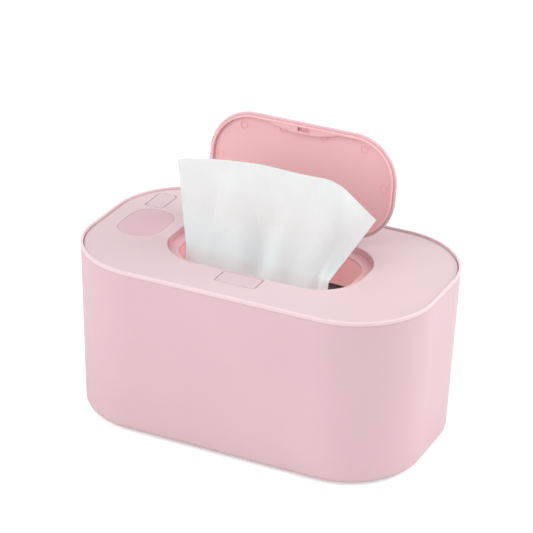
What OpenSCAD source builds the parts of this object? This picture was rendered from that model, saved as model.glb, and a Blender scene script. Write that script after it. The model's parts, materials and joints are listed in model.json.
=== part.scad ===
// Baby wipe warmer: a rounded bin with a heated lift-off cover and a sprung pop-up lid.
// Millimetres, +Z up, the origin on the table under the middle of the bin.
// +X runs along the long side, and the front, with the latch button, faces -Y.
// The lid is drawn open, resting against the stop of its spring.

/* [Bin] */
// Length of the bin at its rim
body_l = 206; // [196:1:220]
// Width of the bin at its rim
body_w = 124; // [118:1:134]
// Height of the bin wall from its bottom edge to the rim
body_h = 98.3; // [92:0.1:112]
// Plan radius of the bin corners at the rim
corner_r = 46.6; // [44:0.1:48]
// How far each side leans in from the rim to the bottom
draft = 2.7; // [1.5:0.1:4]
// Wall of the outer shell
shell_wall = 2.4; // [2:0.1:2.8]
// Width of the flat land on top of the rim
rim_land = 1.5; // [1.2:0.1:1.8]
// Rounding of the bottom edge
bottom_round = 3.5; // [2:0.1:4]
// Small rounding of the rim's outer edge
rim_round = 0.7; // [0.3:0.1:0.8]
// Small rounding of the rim's inner edge
rim_inner_round = 0.4; // [0.2:0.1:0.5]
// Width of the flange that the bottom edge turns in
bottom_flange = 2; // [1.5:0.1:3]
// Thickness of the base cover
base_t = 2.4; // [2:0.1:3]
// Radius of each rubber foot
foot_r = 7; // [5:0.5:9]
// How far the feet stand out below the bin
foot_proud = 1.5; // [1:0.1:2.5]

/* [Cover] */
// How far the top panel lies below the rim
panel_drop = 1.3; // [0.6:0.1:2]
// Thickness of the top panel
panel_t = 2; // [1.8:0.1:2.4]
// Small rounding along the edges of the panel, its cut-outs and the keys
panel_round = 0.5; // [0.1:0.05:0.6]
// Height of the cover unit from the panel to its underside
cover_depth = 13.9; // [13.5:0.1:16]
// Thickness of the cover's walls
cover_wall = 1.8; // [1.4:0.1:2]
// Gap between pieces that drop into each other
seat_gap = 0.3; // [0.2:0.05:0.4]
// Thickness of the silicone ring under the cover
gasket_t = 2.2; // [1.6:0.1:3]
// Width of that ring
gasket_w = 3; // [2:0.1:3.4]

/* [Mouth] */
// Length of the cover beyond each end of the recess that the lid closes into
end_bay = 45.4; // [44.5:0.1:48]
// Width of the recess
recess_w = 62.2; // [60:0.1:62.4]
// Corner radius of the recess
recess_r = 26.8; // [24:0.1:28]
// How far the recess lies behind the middle of the closed lid
recess_shift = 0.2; // [0:0.05:0.3]
// Depth of the recess below the panel
recess_depth = 4.2; // [4:0.1:4.6]
// Width of the ledge between the recess wall and the mouth
ledge_w = 6.5; // [5.8:0.1:6.8]
// Wall of the mouth
mouth_wall = 1.4; // [1.2:0.1:1.6]
// Height of the mouth wall below the ledge
mouth_drop = 16.5; // [15:0.1:18]
// How far the soft lip reaches into the mouth
lip_reach = 2; // [1:0.1:3]

/* [Lid] */
// Gap between the closed lid and the recess wall at the ends
lid_gap = 0.8; // [0.7:0.05:0.9]
// Thickness of the lid
lid_t = 4; // [3.8:0.1:4.2]
// Thickness of the lid at its rim
lid_rim = 2.1; // [1.9:0.1:2.6]
// Rounding of the lid's outer edge
lid_round = 0.9; // [0.4:0.1:1.3]
// Thickness of the lid's outer plate and of its edge wall
lid_skin = 1.3; // [1.2:0.1:1.5]
// Angle at which the sprung lid rests open
lid_open = 96; // [85:1:100]
// Radius of the hinge pin
pin_r = 1; // [0.8:0.05:1.2]
// Radius of the lid's hinge knuckles
knuckle_r = 2.35; // [2.2:0.05:2.35]
// Running clearance of the pin in the knuckles
pin_clear = 0.06; // [0.03:0.01:0.1]
// Length of the hinge bay behind the recess
bay_l = 45.2; // [40:0.2:48]
// Wire radius of the lid spring
spring_wire_r = 0.35; // [0.25:0.05:0.4]
// Turns of the lid spring
spring_turns = 5; // [3:1:5]

/* [Latch] */
// Length of the latch button along the front
button_l = 23.4; // [20:0.2:26]
// Width of the latch button
button_w = 12.3; // [11.5:0.1:12.6]
// How far the button goes down, and the hook slides
latch_travel = 1; // [0.8:0.1:1.1]
// Gap around the button and the key
button_gap = 0.4; // [0.3:0.05:0.5]
// Half width of the hook
hook_half = 3.2; // [2.5:0.1:3.6]

/* [Controls] */
// Length of the display window, front to back
window_w = 37; // [34:0.5:39]
// Width of the display window
window_l = 25.5; // [23:0.5:26]
// Corner radius of the display window
window_r = 12; // [9:0.5:12.5]
// Distance of the window's middle from the left end of the bin
window_inset = 25.2; // [25:0.1:26]
// Size of the power key along the bin
key_l = 11; // [9:0.2:12]
// Size of the power key, front to back
key_w = 19; // [17:0.2:20]
// Travel of the power key
key_travel = 0.5; // [0.3:0.05:0.5]

/* [Tank and wipes] */
// Wall of the inner tank
tank_wall = 1.6; // [1.2:0.1:2]
// Height of the tank floor's underside above the table
tank_base = 16; // [15:0.5:20]
// Thickness of the insulation sleeve
sleeve_t = 2.2; // [1.5:0.1:2.4]
// Width of one wipe, along the bin
wipe_w = 140; // [130:1:144]
// Free space between the folded stack and the tank, at the front and the back
stack_gap = 6.7; // [5:0.1:10]
// Height of the stack of folded wipes
stack_h = 46; // [30:1:48]

/* [Hidden] */
$fn = 64;

pink = [0.93, 0.78, 0.80];
pink_deep = [0.88, 0.68, 0.70];
window_pink = [0.86, 0.72, 0.75];
steel = [0.75, 0.76, 0.78];
silicone = [0.93, 0.88, 0.88];

// The corner arcs of every outline of the bin share these centres
cx = body_l / 2 - corner_r;
cy = body_w / 2 - corner_r;
// Heights, from the table up to the rim and down again into the cover
rim_z = foot_proud + body_h;
top_z = rim_z - panel_drop;
ledge_z = top_z - recess_depth;
under_z = top_z - cover_depth;
floor_t = 1.8;
floor_z = under_z + floor_t;
split_z = under_z + 4.4;
gasket_z = under_z - gasket_t;
seal_gap = 0.2;
flange_t = 2;
flange_z = gasket_z - seal_gap;
shelf_z = flange_z - flange_t;
// Distance of the bin's skin, of the rim's inside and of the cover from the corner centres
function skin_r(z) = corner_r - draft * (rim_z - z) / body_h;
function rim_in_r(z) = skin_r(z) - rim_land;
function cover_r(z) = rim_in_r(z) - seat_gap;
shelf_w = 4.9;
shelf_r = rim_in_r(shelf_z) - shelf_w;
shelf_t = 2.4;
shelf_slope = 5;
// Base
base_z = foot_proud + 0.5;
base_open_r = skin_r(foot_proud) - bottom_round - bottom_flange;
base_screw_d = 30;
boss_r = 3.5;
boss_h = 9;
foot_t = 3;
// Tank
tank_r = shelf_r - seat_gap;
tank_lean = 1.5;
tank_floor_t = 1.8;
tank_floor_z = tank_base + tank_floor_t;
function tank_side(z) = tank_r - tank_lean * (shelf_z - z) / (shelf_z - tank_base);
stack_r = 6;
stack_w = 2 * (cy + tank_side(tank_floor_z) - tank_wall - stack_gap);
stack_z = tank_floor_z + seat_gap;
stack_top = stack_z + stack_h;
// The recess, the lid and the mouth share one set of corner centres
mx = body_l / 2 - end_bay - recess_r;
my = recess_w / 2 - recess_r;
lid_r = recess_r - lid_gap;
mouth_r = recess_r - ledge_w;
tub_wall = 1.6;
ledge_t = 2;
mouth_z = ledge_z - mouth_drop;
lid_bottom = top_z - lid_t;
lid_half_w = my + lid_r;
// Hinge, behind the recess: the pin lies far enough down for the knuckles to stay under the panel
hinge_y = lid_half_w + 4;
hinge_z = top_z - 2.4;
bay_rear = hinge_y + knuckle_r + 0.65;
bay_floor = hinge_z - knuckle_r - 0.35;
bay_wall = 1.7;
ear_t = 4.9;
spring_bay = 10;
knuckle_gap = 0.4;
coil_r = 1.75;
coil_half = 3.6;
// Latch: the button's ramps push the hook slider to the front
button_y = -(my + recess_r + 1 + button_w / 2);
button_r = 1.5;
cap_t = 1.6;
ramp_x = 5.2;
ramp_w = 3.6;
ramp_gap = 0.2;
slider_z = under_z + 4.9;
slider_t = 2;
slider_half = 9;
neck_half = 4;
wedge_top = slider_z + 5.5;
wedge_front = button_y - 5.8;
wedge_crest = wedge_front + 3.5;
hook_t = 0.8;
hook_rear = -(my + mouth_r) - 1.1;
nose = 0.7;
nose_z = ledge_z + 1.1;
hook_top = nose_z + 0.6;
slot_front = hook_rear - hook_t - latch_travel - 0.15;
slot_rear = hook_rear + 0.25;
spring_seat = wedge_front - 6;
// Controls, in the bay to the left of the recess
window_x = -body_l / 2 + window_inset;
key_x = window_x - 6.7;
key_y = cy + 17.4;
window_y = key_y - key_w / 2 - 2.9 - window_w / 2;
window_t = 1.6;
window_ledge = 1.5;
window_gap = 0.15;
key_r = 2.5;
key_flange = 0.8;
board_t = 1.2;
board_z = top_z - 7.3;
board_top = board_z + board_t;
board_left = window_x - 12.2;
board_right = -mx - recess_r - tub_wall - 2.8;
board_front = window_y - 26.9;
board_rear = key_y + 5.2;
board_screw_at = [[window_x - 6.2, board_front + 3], [board_right - 6, key_y - 2.8]];
plunger_top = top_z - 2.9;
// Power inlet, in the rear wall
inlet_x = -mx - 9.2;
inlet_z = under_z + 6.8;
inlet_l = 9.2;
inlet_h = 3.2;
inlet_face = cy + cover_r(inlet_z);
port_l = 14;
port_h = 7;
inlet_board_z = inlet_z - inlet_h / 2 - board_t;
// Screws of the cover, in the free places between the recess and the skirt
cover_screw_at = [[-cx - 13.6, -cy - 22.6], [-cx - 7.6, cy + 28.6], [cx + 15.6, -cy - 22.6],
    [cx + 15.6, cy + 22.6], [24, cy + 33.6], [28, -cy - 34.6]];
screw_r = 1.15;
screw_head_r = 2.6;
screw_head_t = 1.6;
post_z = under_z + 3.8;
// Heater, on the underside of the cover
film_t = 0.4;
plate_t = 1.2;
heater_r = 20;
heater_open = mouth_r + mouth_wall + 1.8;
sensor_x = mx + mouth_r + 16;
sensor_y = 8;
wire_r = 0.6;
wire_z = floor_z + 1.8;
// Points along a rounding
round_steps = 5;

// ---- Shapes that repeat ----

// Rounded rectangle whose corner arcs are centred at (+-ax, +-ay)
module outline(ax, ay, r) {
  square([2 * ax, 2 * (ay + r)], center = true);
  square([2 * (ax + r), 2 * ay], center = true);
  for (sx = [-1, 1], sy = [-1, 1]) translate([sx * ax, sy * ay]) circle(r);
}

module slab(ax, ay, r, z0, z1) {
  translate([0, 0, z0]) linear_extrude(z1 - z0) outline(ax, ay, r);
}

// A wall of any section around the same outline; the section's points are
// [distance from the corner centre, height]
module swept(ax, ay, section) {
  for (k = [0:3]) {
    a = k % 2 == 0 ? ax : ay;
    b = k % 2 == 0 ? ay : ax;
    rotate([0, 0, 90 * k]) translate([a, b, 0]) {
      rotate_extrude(angle = 90) polygon(section);
      rotate([90, 0, 0]) linear_extrude(2 * b) polygon(section);
    }
  }
}

// Quarter arc of an edge; dir is 1 where the material lies inside it and -1 around a hole
function edge_arc(r, z, e, dir) = [for (i = [0:round_steps]) let (a = 90 * i / round_steps)
  [r - dir * e + dir * e * cos(a), z - e + e * sin(a)]];

// A slab whose top edge is rounded
module soft_slab(ax, ay, r, z0, z1, e) {
  dish(ax, ay, concat([[0, z0], [r, z0]], edge_arc(r, z1, e, 1), [[0, z1]]), z0, z1);
}

// What rounds the top edge of a hole takes away
module hole_edge(ax, ay, r, z, e) {
  swept(ax, ay, concat([[r - 0.4, z + 0.5], [r - 0.4, z - e]], edge_arc(r, z, e, -1), [[r + e, z + 0.5]]));
}

// Moves what belongs to the recess and the mouth to their middle
module at_mouth() {
  translate([0, recess_shift, 0]) children();
}

// A plate with a shaped edge: a section that starts at distance 0, and its core
module dish(ax, ay, section, z0, z1) {
  swept(ax, ay, section);
  translate([-ax, -ay, z0]) cube([2 * ax, 2 * ay, z1 - z0]);
}

// A plate with straight sides, drawn in Y and Z and given a width along X
module profile_x(x0, x1, points) {
  translate([x0, 0, 0]) rotate([90, 0, 90]) linear_extrude(x1 - x0) polygon(points);
}

module box(x0, x1, y0, y1, z0, z1) {
  translate([x0, y0, z0]) cube([x1 - x0, y1 - y0, z1 - z0]);
}

module rod_x(x0, x1, y, z, r) {
  translate([x0, y, z]) rotate([0, 90, 0]) cylinder(r = r, h = x1 - x0);
}

// Slot with round ends through a wall that faces +Y
module port(x, z, l, h, y0, y1) {
  for (s = [-1, 1]) translate([x + s * (l - h) / 2, y0, z])
    rotate([-90, 0, 0]) cylinder(r = h / 2, h = y1 - y0);
  box(x - (l - h) / 2, x + (l - h) / 2, y0, y1, z - h / 2, z + h / 2);
}

// Turns what is drawn closed to the lid's rest position
module opened() {
  translate([0, hinge_y, hinge_z]) rotate([-lid_open, 0, 0])
    translate([0, -hinge_y, -hinge_z]) children();
}

// Round wire along points; no stretch of it may run parallel to the about axis
function ring_points(p, tangent, about, r, sides) =
  let (t = tangent / norm(tangent), side = cross(t, about), n = side / norm(side), b = cross(t, n))
  [for (k = [0:sides - 1]) p + r * (cos(360 * k / sides) * n + sin(360 * k / sides) * b)];

module tube(path, about, r, sides) {
  n = len(path);
  points = [for (i = [0:n - 1])
    each ring_points(path[i], path[min(i + 1, n - 1)] - path[max(i - 1, 0)], about, r, sides)];
  walls = [for (i = [0:n - 2], k = [0:sides - 1])
    let (a = i * sides + k, b = i * sides + (k + 1) % sides, c = b + sides, d = a + sides)
    each [[a, c, b], [a, d, c]]];
  first = [for (k = [1:sides - 2]) [0, k, k + 1]];
  last = [for (k = [1:sides - 2]) [(n - 1) * sides, (n - 1) * sides + k + 1, (n - 1) * sides + k]];
  polyhedron(points, concat(walls, first, last));
}

// ---- Bin ----

module outer_shell() {
  rim_edge = edge_arc(corner_r, rim_z, rim_round, 1);
  inner_edge = edge_arc(rim_in_r(rim_z), rim_z, rim_inner_round, -1);
  bottom_edge = [for (i = [0:round_steps]) let (a = 90 * i / round_steps, r = skin_r(foot_proud))
    [r - bottom_round + bottom_round * sin(a), foot_proud + bottom_round - bottom_round * cos(a)]];
  flange_top = foot_proud + shell_wall;
  section = concat([[base_open_r, foot_proud]], bottom_edge, rim_edge,
    [for (i = [round_steps:-1:0]) inner_edge[i]], [
    [rim_in_r(shelf_z), shelf_z],
    [shelf_r, shelf_z],
    [shelf_r, shelf_z - shelf_t],
    [skin_r(shelf_z) - shell_wall, shelf_z - shelf_t - shelf_slope],
    [skin_r(foot_proud) - shell_wall, flange_top + 2],
    [base_open_r + bottom_flange, flange_top],
    [base_open_r, flange_top]]);
  color(pink) difference() {
    union() {
      swept(cx, cy, section);
      for (k = [0:3]) base_boss(k);
    }
    for (k = [0:3]) at_base_screw(k) translate([0, 0, base_z]) cylinder(r = 1.5, h = base_t + boss_h - 1);
    port(inlet_x, inlet_z, port_l, port_h, inlet_face - 4, body_w / 2 + 1);
  }
}

module at_base_screw(k) {
  reach = (k % 2 == 0 ? cx : cy) + base_screw_d;
  rotate([0, 0, 90 * k]) translate([reach, 0, 0]) children();
}

// Screw boss inside the shell, tied to the wall by a rib
module base_boss(k) {
  z0 = base_z + base_t;
  rib_l = skin_r(z0) - shell_wall + 0.6 - base_screw_d;
  at_base_screw(k) {
    translate([0, 0, z0]) cylinder(r = boss_r, h = boss_h);
    difference() {
      box(0, rib_l, -1, 1, z0 + 1, z0 + boss_h - 1);
      translate([0, 0, z0]) cylinder(r = boss_r - 1, h = boss_h);
    }
  }
}

module base_cover() {
  color(pink_deep) difference() {
    slab(cx, cy, base_open_r - seat_gap, base_z, base_z + base_t);
    for (sx = [-1, 1], sy = [-1, 1]) at_foot(sx, sy)
      translate([0, 0, base_z - 1]) cylinder(r = foot_r + 0.1, h = foot_t - base_z + 1);
    for (k = [0:3]) at_base_screw(k) translate([0, 0, base_z - 1]) {
      cylinder(r = 1.7, h = base_t + 2);
      cylinder(r = screw_head_r + 0.4, h = 1 + 1.2);
    }
  }
}

module base_screws() {
  color(steel) for (k = [0:3]) at_base_screw(k) {
    translate([0, 0, base_z + 1.2]) cylinder(r = 1.4, h = base_t + boss_h - 4);
    difference() {
      translate([0, 0, base_z]) cylinder(r = screw_head_r, h = 1.2);
      cross_slot(base_z);
    }
  }
}

// Cross recess in a screw head whose face looks down
module cross_slot(z) {
  for (a = [0, 90]) rotate([0, 0, a]) box(-1.5, 1.5, -0.3, 0.3, z - 1, z + 0.7);
}

module at_foot(sx, sy) {
  translate([sx * (cx + 10), sy * (cy + 22), 0]) children();
}

module foot(sx, sy) {
  color([0.85, 0.82, 0.82]) at_foot(sx, sy) rotate_extrude()
    polygon([[0, 0], [foot_r - 0.6, 0], [foot_r, 0.6], [foot_r, foot_t], [0, foot_t]]);
}

module foot_front_left() { foot(-1, -1); }
module foot_front_right() { foot(1, -1); }
module foot_rear_left() { foot(-1, 1); }
module foot_rear_right() { foot(1, 1); }

module inner_tank() {
  foot_side = tank_side(tank_base);
  color([0.95, 0.93, 0.93]) dish(cx, cy, [
    [0, tank_base],
    [foot_side - 1.5, tank_base],
    [foot_side, tank_base + 1.5],
    [tank_side(shelf_z), shelf_z],
    [rim_in_r(shelf_z) - seat_gap, shelf_z],
    [rim_in_r(shelf_z) - seat_gap, flange_z],
    [tank_side(shelf_z) - tank_wall, flange_z],
    [foot_side - tank_wall, tank_floor_z + 1.5],
    [foot_side - tank_wall - 1.5, tank_floor_z],
    [0, tank_floor_z]], tank_base, tank_floor_z);
}

module insulation_sleeve() {
  z0 = tank_base + 2;
  z1 = shelf_z - shelf_t - 3.8;
  color([0.9, 0.9, 0.88]) swept(cx, cy, [
    [tank_side(z0) + seat_gap, z0],
    [tank_side(z0) + seat_gap + sleeve_t, z0],
    [tank_side(z1) + seat_gap + sleeve_t, z1],
    [tank_side(z1) + seat_gap, z1]]);
}

module wipe_stack() {
  color("white") slab(wipe_w / 2 - stack_r, stack_w / 2 - stack_r, stack_r, stack_z, stack_top);
}

// ---- Cover unit ----

module top_panel() {
  plate_z = top_z - panel_t;
  skirt_top = cover_r(plate_z);
  skirt_low = cover_r(split_z);
  color(pink) difference() {
    union() {
      soft_slab(cx, cy, skirt_top, plate_z, top_z, panel_round);
      swept(cx, cy, [[skirt_low - cover_wall, split_z], [skirt_low, split_z],
        [skirt_top, plate_z + 0.1], [skirt_top - cover_wall, plate_z + 0.1]]);
      at_mouth() slab(mx, my, recess_r + tub_wall, ledge_z - ledge_t, plate_z + 0.1);
      at_mouth() slab(mx, my, mouth_r + mouth_wall, mouth_z, ledge_z - 0.1);
      box(-bay_l / 2 - ear_t, bay_l / 2 + ear_t, my + mouth_r + 1, bay_rear + bay_wall,
        bay_floor - bay_wall, plate_z + 0.1);
      button_guides();
      translate([window_x, window_y, 0])
        slab(window_l / 2 - window_r, window_w / 2 - window_r, window_r + window_ledge,
          top_z - window_t - 1.4, plate_z + 0.1);
      for (at = cover_screw_at)
        translate([at.x, at.y, post_z]) cylinder(r = 3, h = plate_z - post_z + 0.1);
      for (at = board_screw_at)
        translate([at.x, at.y, board_top]) cylinder(r = 2.2, h = plate_z - board_top + 0.1);
    }
    at_mouth() {
      slab(mx, my, recess_r, ledge_z, top_z + 1);
      slab(mx, my, mouth_r, mouth_z - 1, top_z + 1);
      hole_edge(mx, my, recess_r, top_z, panel_round);
      hole_edge(mx, my, mouth_r, ledge_z, panel_round);
    }
    hinge_bay_cut();
    latch_cut();
    controls_cut();
    port(inlet_x, inlet_z, inlet_l + 0.8, inlet_h + 0.8, inlet_face - 3, inlet_face + 3);
    for (at = cover_screw_at) translate([at.x, at.y, post_z - 1]) cylinder(r = screw_r + 0.05, h = 8.2);
    for (at = board_screw_at) translate([at.x, at.y, board_top - 1]) cylinder(r = 0.85, h = 4);
  }
}

// Rails that keep the button from turning
module button_guides() {
  x0 = button_l / 2 + 1.5;
  for (s = [-1, 1]) scale([s, 1, 1])
    box(x0, x0 + 1.2, button_y - button_w / 2, button_y + button_w / 2, top_z - 5.5, top_z - 1.9);
}

module hinge_bay_cut() {
  half = bay_l / 2;
  box(-half, half, my + recess_r - 2, bay_rear, bay_floor, top_z + 1);
  rod_x(-half - ear_t - 1, half + ear_t + 1, hinge_y, hinge_z, pin_r + 0.02);
}

module latch_cut() {
  translate([0, button_y, 0]) {
    slab(button_l / 2 - button_r, button_w / 2 - button_r, button_r + button_gap,
      top_z - panel_t - 1, top_z + 1);
    hole_edge(button_l / 2 - button_r, button_w / 2 - button_r, button_r + button_gap, top_z, panel_round);
  }
  box(-hook_half - 0.3, hook_half + 0.3, slot_front, slot_rear, floor_z, ledge_z + 1);
}

module controls_cut() {
  translate([window_x, window_y, 0]) {
    slab(window_l / 2 - window_r, window_w / 2 - window_r, window_r + window_gap, top_z - window_t,
      top_z + 1);
    slab(window_l / 2 - window_r, window_w / 2 - window_r, window_r - window_ledge,
      top_z - window_t - 3, top_z + 1);
  }
  translate([key_x, key_y, 0]) {
    slab(key_l / 2 - key_r, key_w / 2 - key_r, key_r + button_gap, top_z - panel_t - 1, top_z + 1);
    hole_edge(key_l / 2 - key_r, key_w / 2 - key_r, key_r + button_gap, top_z, panel_round);
  }
}

module under_cover() {
  r0 = cover_r(under_z);
  r1 = cover_r(split_z);
  color(pink_deep) difference() {
    union() {
      slab(cx, cy, r0, under_z, floor_z);
      swept(cx, cy, [[r0 - cover_wall, under_z + 0.1], [r0, under_z + 0.1], [r1, split_z],
        [r1 - cover_wall, split_z]]);
      for (at = cover_screw_at) translate([at.x, at.y, under_z]) cylinder(r = 4, h = post_z - under_z);
      latch_bed();
      for (s = [-1, 1]) translate([inlet_x + s * 7, inlet_face - 11, under_z])
        cylinder(r = 2, h = inlet_board_z - under_z);
    }
    at_mouth() slab(mx, my, mouth_r + mouth_wall + 0.25, under_z - 1, floor_z + 1);
    for (at = cover_screw_at) translate([at.x, at.y, under_z - 1]) {
      cylinder(r = screw_r + 0.35, h = post_z - under_z + 2);
      cylinder(r = screw_head_r + 0.3, h = 3);
    }
    for (s = [-1, 1]) box(sensor_x - 9.5, sensor_x + 6.5, s * sensor_y - 3, s * sensor_y + 3,
      under_z - 1, floor_z + 1);
    for (s = [-1, 1])
      translate([lead_x, lead_y + s * lead_gap, under_z - 1]) cylinder(r = 1.2, h = floor_t + 2);
  }
}

// Bed that carries the hook slider and its spring
module latch_bed() {
  bed_z = slider_z - seat_gap;
  box(-slider_half - 1.6, slider_half + 1.6, spring_seat - 1.6, wedge_front + 14, floor_z - 0.1, bed_z);
  for (s = [-1, 1]) scale([s, 1, 1])
    box(slider_half + 0.4, slider_half + 1.6, spring_seat, wedge_front + 6, bed_z - 0.1, slider_z + 2);
  box(-neck_half, neck_half, spring_seat - 1.6, spring_seat, bed_z - 0.1, slider_z + 4.6);
}

module cover_screws() {
  color(steel) for (at = cover_screw_at) translate([at.x, at.y, 0]) {
    translate([0, 0, under_z + 2]) cylinder(r = screw_r, h = 8);
    difference() {
      translate([0, 0, under_z + 2 - screw_head_t]) cylinder(r = screw_head_r, h = screw_head_t);
      cross_slot(under_z + 2 - screw_head_t);
    }
  }
}

module cover_gasket() {
  r = cover_r(under_z) - 0.8;
  color(silicone) swept(cx, cy, [[r - gasket_w, under_z], [r - gasket_w, gasket_z + 0.6],
    [r - gasket_w + 0.6, gasket_z], [r - 0.6, gasket_z], [r, gasket_z + 0.6], [r, under_z]]);
}

module mouth_lip() {
  z0 = mouth_z - 1.6;
  color(silicone) at_mouth() swept(mx, my, [[mouth_r - lip_reach, z0 + 0.5],
    [mouth_r - lip_reach + 0.5, z0], [mouth_r + mouth_wall, z0], [mouth_r + mouth_wall, mouth_z],
    [mouth_r - 0.6, mouth_z], [mouth_r - lip_reach, z0 + 0.9]]);
}

// ---- Heater and electronics ----

module heater_ring(z0, z1) {
  difference() {
    slab(cx, cy, heater_r, z0, z1);
    at_mouth() slab(mx, my, heater_open, z0 - 1, z1 + 1);
  }
}

module heating_film() { color([0.8, 0.55, 0.2]) heater_ring(under_z - film_t, under_z); }
module heater_plate() { color(steel) heater_ring(under_z - film_t - plate_t, under_z - film_t); }

module thermal_fuse() {
  color([0.9, 0.9, 0.85]) {
    rod_x(sensor_x - 4.5, sensor_x + 4.5, -sensor_y, under_z + 1.65, 1.6);
    rod_x(sensor_x - 5.6, sensor_x - 4.4, -sensor_y, under_z + 1.65, 0.5);
    rod_x(sensor_x + 4.4, sensor_x + 5.6, -sensor_y, under_z + 1.65, 0.5);
  }
}

module temperature_sensor() {
  color([0.2, 0.2, 0.22]) {
    rod_x(sensor_x - 3, sensor_x + 3, sensor_y, under_z + 1.25, 1.2);
    translate([sensor_x + 3, sensor_y, under_z + 1.25]) sphere(1.2);
  }
}

module heat_shield() {
  color([0.92, 0.92, 0.9]) difference() {
    intersection() {
      slab(cx, cy, cover_r(under_z) - cover_wall - 1.2, floor_z, floor_z + 1.5);
      box(-body_l, board_right, board_front + 1, board_rear, floor_z - 1, floor_z + 3);
    }
    for (s = [-1, 1]) translate([lead_x, lead_y + s * lead_gap, floor_z - 1]) cylinder(r = 1.2, h = 4);
  }
}

module control_board() {
  color([0.1, 0.45, 0.25]) difference() {
    union() {
      box(board_left, board_right, board_front, board_rear, board_z, board_top);
      box(board_right - 9, board_right - 1, board_front + 5, board_front + 13,
        board_top - 0.1, board_top + 1.2);
      box(board_right - 8, board_right - 2, board_front + 45, board_front + 50,
        board_top - 0.1, board_top + 1.6);
    }
    for (at = board_screw_at) translate([at.x, at.y, board_z - 1]) cylinder(r = 1.1, h = board_t + 2);
  }
}

module board_screws() {
  color(steel) for (at = board_screw_at) translate([at.x, at.y, 0]) {
    translate([0, 0, board_z]) cylinder(r = 0.8, h = 4);
    translate([0, 0, board_z - 1.2]) cylinder(r = 1.8, h = 1.2);
  }
}

module display_module() {
  color([0.12, 0.12, 0.14]) box(window_x - 8.5, window_x + 8.5, window_y - 13, window_y + 13,
    board_top, top_z - window_t - 1.7);
}

module display_window() {
  color(window_pink) translate([window_x, window_y, 0])
    soft_slab(window_l / 2 - window_r, window_w / 2 - window_r, window_r, top_z - window_t, top_z, 0.2);
}

module tact_switch() {
  color([0.15, 0.15, 0.16]) {
    box(key_x - 3, key_x + 3, key_y - 3, key_y + 3, board_top, board_top + 2.4);
    translate([key_x, key_y, board_top + 2.3]) cylinder(r = 1.5, h = plunger_top - board_top - 2.3);
  }
}

module inlet_board() {
  color([0.1, 0.45, 0.25])
    box(inlet_x - 10, inlet_x + 10, inlet_face - 13.4, inlet_face - 2.3,
      inlet_board_z, inlet_board_z + board_t);
}

module power_inlet() {
  wall = 0.35;
  color(steel) difference() {
    port(inlet_x, inlet_z, inlet_l, inlet_h, inlet_face - 8, inlet_face);
    port(inlet_x, inlet_z, inlet_l - 2 * wall, inlet_h - 2 * wall, inlet_face - 6.5, inlet_face + 1);
  }
  color([0.1, 0.1, 0.1])
    box(inlet_x - 3, inlet_x + 3, inlet_face - 7, inlet_face - 1, inlet_z - 0.35, inlet_z + 0.35);
}

lead_x = -mx - mouth_r - 12;
lead_y = 8;
lead_gap = 3;
lead_end = board_z - wire_r - 0.02;

module heater_leads() {
  color([0.75, 0.1, 0.1]) for (s = [-1, 1]) tube([
    [lead_x, lead_y + s * lead_gap, under_z],
    [lead_x, lead_y + s * lead_gap, floor_z + 2.4],
    [lead_x - 1, lead_y + s * lead_gap, lead_end - 1],
    [lead_x - 2, lead_y + s * lead_gap, lead_end],
    [lead_x - 6, lead_y + s * lead_gap, lead_end]], [0, 1, 0], wire_r, 8);
}

module power_leads() {
  y0 = inlet_face - 9;
  z0 = inlet_board_z + board_t + wire_r + 0.02;
  color([0.1, 0.1, 0.1]) for (s = [0, 1]) tube([
    [inlet_x - 6, y0 + 2 * s, z0],
    [inlet_x - 10.5 - 3 * s, y0 + 2 * s, z0],
    [inlet_x - 15 - 3 * s, board_rear + 4, lead_end - 0.4],
    [board_right - 3 - 3 * s, board_rear - 2, lead_end],
    [board_right - 3 - 3 * s, board_rear - 6, lead_end]], [0, 0, 1], wire_r, 8);
}

// Both run behind the recess to the board
module sensor_leads() {
  rear_y = my + mouth_r + 9;
  side_x = mx + mouth_r;
  color([0.85, 0.85, 0.2]) for (s = [0, 1]) tube([
    [sensor_x - (s == 0 ? 3.02 : 5.62), (1 - 2 * s) * sensor_y, under_z + (s == 0 ? 1.25 : 1.65)],
    [sensor_x - (s == 0 ? 4.2 : 6.4), (1 - 2 * s) * sensor_y, under_z + (s == 0 ? 1.25 : 1.65)],
    [sensor_x - (s == 0 ? 6 : 8), (1 - 2 * s) * sensor_y + 2 * s, wire_z],
    [side_x + 7 - 3.5 * s, rear_y - 14 - 5 * s, wire_z],
    [side_x + 2 - 3.5 * s, rear_y - 6, wire_z],
    [mx + 12, rear_y - 1.8 * s, wire_z],
    [-mx - 12, rear_y - 1.8 * s, wire_z],
    [-side_x - 10, 22 - 3 * s, lead_end - 0.5],
    [-side_x - 12, 21 - 3 * s, lead_end],
    [-side_x - 16, 20 - 3 * s, lead_end]], [0, 0, 1], wire_r, 8);
}

// ---- Lid and hinge ----

module hinge_pin() {
  half = bay_l / 2 + ear_t - 0.2;
  color(steel) rod_x(-half, half, hinge_y, hinge_z, pin_r);
}

// Helix about the pin, with one leg on the bay floor and one towards the right knuckle
module torsion_spring() {
  steps = 12;
  last = spring_turns * steps;
  coil = [for (i = [0:last]) let (a = 360 * i / steps - 90)
    [-coil_half + 2 * coil_half * i / last, hinge_y + coil_r * cos(a), hinge_z + coil_r * sin(a)]];
  leg = [[-coil_half - 0.3, hinge_y - 3, bay_floor + spring_wire_r + 0.1],
    [-coil_half - 0.2, hinge_y - 1.6, bay_floor + spring_wire_r + 0.2]];
  hold = [[coil_half + 0.3, hinge_y + 1.4, hinge_z - coil_r],
    [coil_half + 0.4, hinge_y + 2.1, hinge_z - coil_r]];
  color(steel) tube(concat(leg, coil, hold), [1, 0, 0], spring_wire_r, 6);
}

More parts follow.
